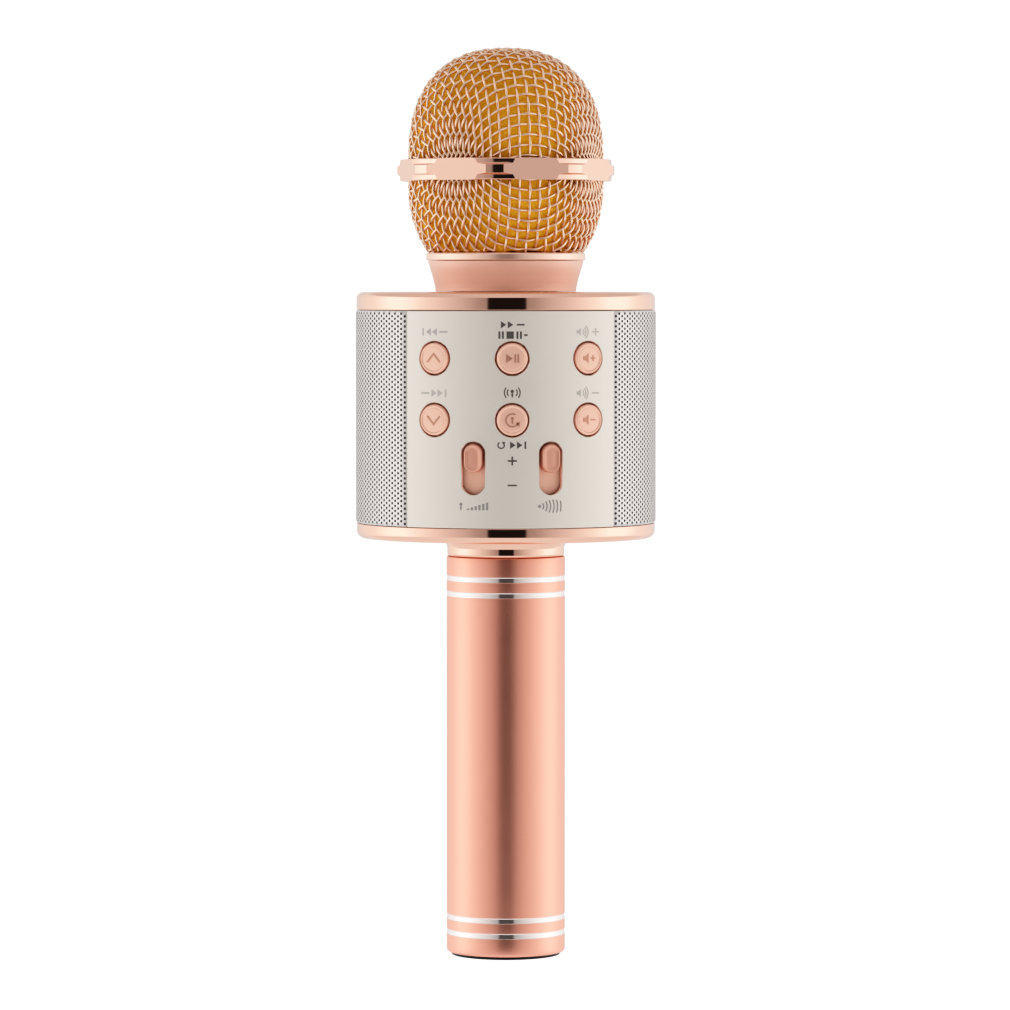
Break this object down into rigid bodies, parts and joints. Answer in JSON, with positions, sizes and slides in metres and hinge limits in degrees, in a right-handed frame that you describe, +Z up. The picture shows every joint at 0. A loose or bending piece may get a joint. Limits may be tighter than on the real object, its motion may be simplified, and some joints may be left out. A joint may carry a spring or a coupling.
{
  "type": "karaoke microphone",
  "caption": "Handheld wireless microphone: woven ball head, flared neck, speaker drum with a curved control panel and perforated side grilles, slim tubular handle.",
  "frame": {"origin": "centre of the end cap's flat face, the base that the microphone stands on", "axes": "+Z up along the handle to the head, -Y out of the control panel, +X to the right of the panel as its user sees it"},
  "size_m": [0.0802, 0.082, 0.2433],
  "materials": {
    "rose_gold_satin": "satin anodised rose gold",
    "rose_gold_gloss": "mirror-bright rose gold plating",
    "mesh_wire": "bright rose gold woven wire",
    "head_foam": "open-cell golden foam",
    "panel_metal": "fine brushed champagne silver",
    "grille_metal": "perforated satin silver sheet",
    "black_plastic": "fine moulded black",
    "black_rubber": "soft matt black",
    "grey_plastic": "moulded dark grey",
    "speaker_paper": "pressed black paper",
    "plated_steel": "bright plated steel",
    "magnet_steel": "dark zinc-plated steel",
    "circuit_board": "green solder mask",
    "cell_wrap": "heat-shrunk film",
    "lamp_lens": "clear moulded lens"
  },
  "bodies": {
    "housing": {"handle_tube": "rose_gold_satin", "neck_collar": "rose_gold_satin", "slot_tray_mic_volume": "rose_gold_satin", "slot_tray_echo": "rose_gold_satin", "handle_trim_ring": "rose_gold_gloss", "bottom_cap": "rose_gold_gloss", "top_cap": "rose_gold_gloss", "front_panel": "panel_metal", "rear_panel": "panel_metal", "grille_left": "grille_metal", "grille_right": "grille_metal", "end_cap": "black_plastic", "front_frame": "black_plastic", "rear_frame": "black_plastic", "audio_jack": "black_plastic", "tact_switch_previous": "black_plastic", "tact_switch_next": "black_plastic", "tact_switch_play_pause": "black_plastic", "tact_switch_replay": "black_plastic", "tact_switch_volume_up": "black_plastic", "tact_switch_volume_down": "black_plastic", "capsule_holder": "black_rubber", "battery_holder": "grey_plastic", "handle_coupling": "grey_plastic", "speaker_cone_left": "speaker_paper", "speaker_cone_right": "speaker_paper", "end_cap_screw": "plated_steel", "frame_screw_left": "plated_steel", "frame_screw_right": "plated_steel", "speaker_basket_left": "plated_steel", "speaker_basket_right": "plated_steel", "charging_socket": "plated_steel", "card_slot": "plated_steel", "power_switch": "plated_steel", "slide_pot_mic_volume": "plated_steel", "slide_pot_echo": "plated_steel", "mic_capsule": "plated_steel", "speaker_magnet_left": "magnet_steel", "speaker_magnet_right": "magnet_steel", "control_board": "circuit_board", "key_board_left": "circuit_board", "key_board_right": "circuit_board", "rear_board": "circuit_board", "battery_cell": "cell_wrap", "indicator_lens": "lamp_lens"},
    "head_gasket": {"head_gasket": "black_rubber"},
    "head": {"head_ring": "rose_gold_gloss", "mesh_dome": "mesh_wire", "mesh_basket": "mesh_wire", "foam_windscreen": "head_foam", "trim_ring": "rose_gold_gloss"},
    "button_previous": {"button_previous": "rose_gold_gloss"},
    "button_next": {"button_next": "rose_gold_gloss"},
    "button_play_pause": {"button_play_pause": "rose_gold_gloss"},
    "button_replay": {"button_replay": "rose_gold_gloss"},
    "button_volume_up": {"button_volume_up": "rose_gold_gloss"},
    "button_volume_down": {"button_volume_down": "rose_gold_gloss"},
    "slider_mic_volume": {"slider_mic_volume": "rose_gold_gloss"},
    "slider_echo": {"slider_echo": "rose_gold_gloss"},
    "power_knob": {"power_knob": "black_plastic"}
  },
  "joints": [
    {"name": "head_rise", "type": "slide", "parent": "housing", "child": "head_gasket", "axis": [0, 0, 1], "range_m": [0, 0.0045]},
    {"name": "head_turn", "type": "hinge", "parent": "head_gasket", "child": "head", "pos_m": [0, 0, 0.2], "axis": [0, 0, 1], "range_deg": [0, 1080]},
    {"name": "previous_press", "type": "slide", "parent": "housing", "child": "button_previous", "axis": [0.5023, 0.8647, 0], "range_m": [0, 0.0006], "stiffness_N_per_m": 900},
    {"name": "next_press", "type": "slide", "parent": "housing", "child": "button_next", "axis": [0.5023, 0.8647, 0], "range_m": [0, 0.0006], "stiffness_N_per_m": 900},
    {"name": "play_pause_press", "type": "slide", "parent": "housing", "child": "button_play_pause", "axis": [0, 1, 0], "range_m": [0, 0.0006], "stiffness_N_per_m": 900},
    {"name": "replay_press", "type": "slide", "parent": "housing", "child": "button_replay", "axis": [0, 1, 0], "range_m": [0, 0.0006], "stiffness_N_per_m": 900},
    {"name": "volume_up_press", "type": "slide", "parent": "housing", "child": "button_volume_up", "axis": [-0.5023, 0.8647, 0], "range_m": [0, 0.0006], "stiffness_N_per_m": 900},
    {"name": "volume_down_press", "type": "slide", "parent": "housing", "child": "button_volume_down", "axis": [-0.5023, 0.8647, 0], "range_m": [0, 0.0006], "stiffness_N_per_m": 900},
    {"name": "mic_volume_slide", "type": "slide", "parent": "housing", "child": "slider_mic_volume", "axis": [0, 0, 1], "range_m": [-0.0053, 0]},
    {"name": "echo_slide", "type": "slide", "parent": "housing", "child": "slider_echo", "axis": [0, 0, 1], "range_m": [-0.0053, 0]},
    {"name": "power_slide", "type": "slide", "parent": "housing", "child": "power_knob", "axis": [0, 0, 1], "range_m": [0, 0.003]}
  ],
  "couplings": [
    {"joint": "head_turn", "follows": "head_rise", "rad_per_m": 4188.8}
  ]
}
